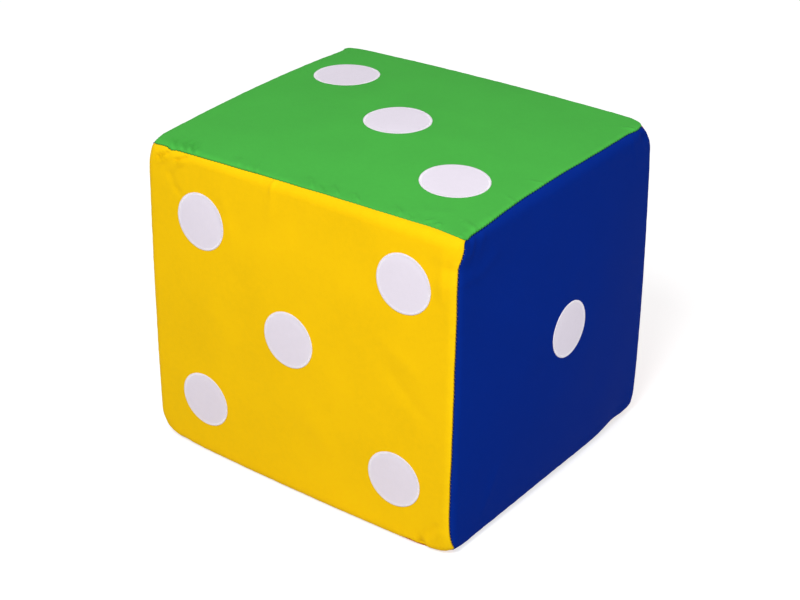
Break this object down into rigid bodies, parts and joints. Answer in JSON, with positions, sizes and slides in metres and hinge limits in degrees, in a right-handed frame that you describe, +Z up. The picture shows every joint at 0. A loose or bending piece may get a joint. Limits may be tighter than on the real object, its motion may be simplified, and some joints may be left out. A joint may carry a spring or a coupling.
{
  "type": "play die",
  "caption": "Large soft play die: a foam block in a zipped fabric cover, each face its own colour, with white pips sewn on and satin-stitched round their rims.",
  "frame": {"origin": "on the ground under the middle of the seam box, at the flat middle of the bottom panel", "axes": "+X towards the face with one pip, along the block's widest side; -Y towards the face with five pips; +Z up, towards the face with three pips"},
  "size_m": [0.3222, 0.2853, 0.2798],
  "materials": {
    "foam": "open-cell polyurethane foam, matte",
    "yellow_fabric": "plain-woven coated nylon with a slight sheen",
    "blue_fabric": "plain-woven coated nylon with a slight sheen",
    "red_fabric": "plain-woven coated nylon with a slight sheen",
    "violet_fabric": "plain-woven coated nylon with a slight sheen",
    "green_fabric": "plain-woven coated nylon with a slight sheen",
    "orange_fabric": "plain-woven coated nylon with a slight sheen",
    "pip_fabric": "white plain-woven fabric",
    "rim_thread": "white satin-stitched thread",
    "zip_tape": "woven polyester tape",
    "zip_coil": "polyester coil",
    "zip_metal": "nickel-plated, lightly worn"
  },
  "bodies": {
    "die": {"foam_block": "foam", "panel_5_front": "yellow_fabric", "panel_1_right": "blue_fabric", "panel_2_back": "red_fabric", "panel_6_left": "violet_fabric", "panel_3_top": "green_fabric", "panel_4_bottom": "orange_fabric", "pip_5_1": "pip_fabric", "pip_5_1_rim": "rim_thread", "pip_5_2": "pip_fabric", "pip_5_2_rim": "rim_thread", "pip_5_3": "pip_fabric", "pip_5_3_rim": "rim_thread", "pip_5_4": "pip_fabric", "pip_5_4_rim": "rim_thread", "pip_5_5": "pip_fabric", "pip_5_5_rim": "rim_thread", "pip_1_1": "pip_fabric", "pip_1_1_rim": "rim_thread", "pip_2_1": "pip_fabric", "pip_2_1_rim": "rim_thread", "pip_2_2": "pip_fabric", "pip_2_2_rim": "rim_thread", "pip_6_1": "pip_fabric", "pip_6_1_rim": "rim_thread", "pip_6_2": "pip_fabric", "pip_6_2_rim": "rim_thread", "pip_6_3": "pip_fabric", "pip_6_3_rim": "rim_thread", "pip_6_4": "pip_fabric", "pip_6_4_rim": "rim_thread", "pip_6_5": "pip_fabric", "pip_6_5_rim": "rim_thread", "pip_6_6": "pip_fabric", "pip_6_6_rim": "rim_thread", "pip_3_1": "pip_fabric", "pip_3_1_rim": "rim_thread", "pip_3_2": "pip_fabric", "pip_3_2_rim": "rim_thread", "pip_3_3": "pip_fabric", "pip_3_3_rim": "rim_thread", "pip_4_1": "pip_fabric", "pip_4_1_rim": "rim_thread", "pip_4_2": "pip_fabric", "pip_4_2_rim": "rim_thread", "pip_4_3": "pip_fabric", "pip_4_3_rim": "rim_thread", "pip_4_4": "pip_fabric", "pip_4_4_rim": "rim_thread", "zip_tape_upper": "zip_tape", "zip_tape_lower": "zip_tape", "zip_coil_upper": "zip_coil", "zip_coil_lower": "zip_coil", "zip_bottom_stop": "zip_metal", "zip_top_stop_upper": "zip_metal", "zip_top_stop_lower": "zip_metal"},
    "slider": {"zip_slider": "zip_metal"},
    "pull_tab": {"zip_pull_tab": "zip_metal"}
  },
  "joints": [
    {"name": "zip_slide", "type": "slide", "parent": "die", "child": "slider", "axis": [1, 0, 0], "range_m": [0, 0.248]},
    {"name": "pull_tab_hinge", "type": "hinge", "parent": "slider", "child": "pull_tab", "pos_m": [-0.1242, 0.14011, 0.026], "axis": [0, 0, 1], "range_deg": [0, 170]}
  ]
}
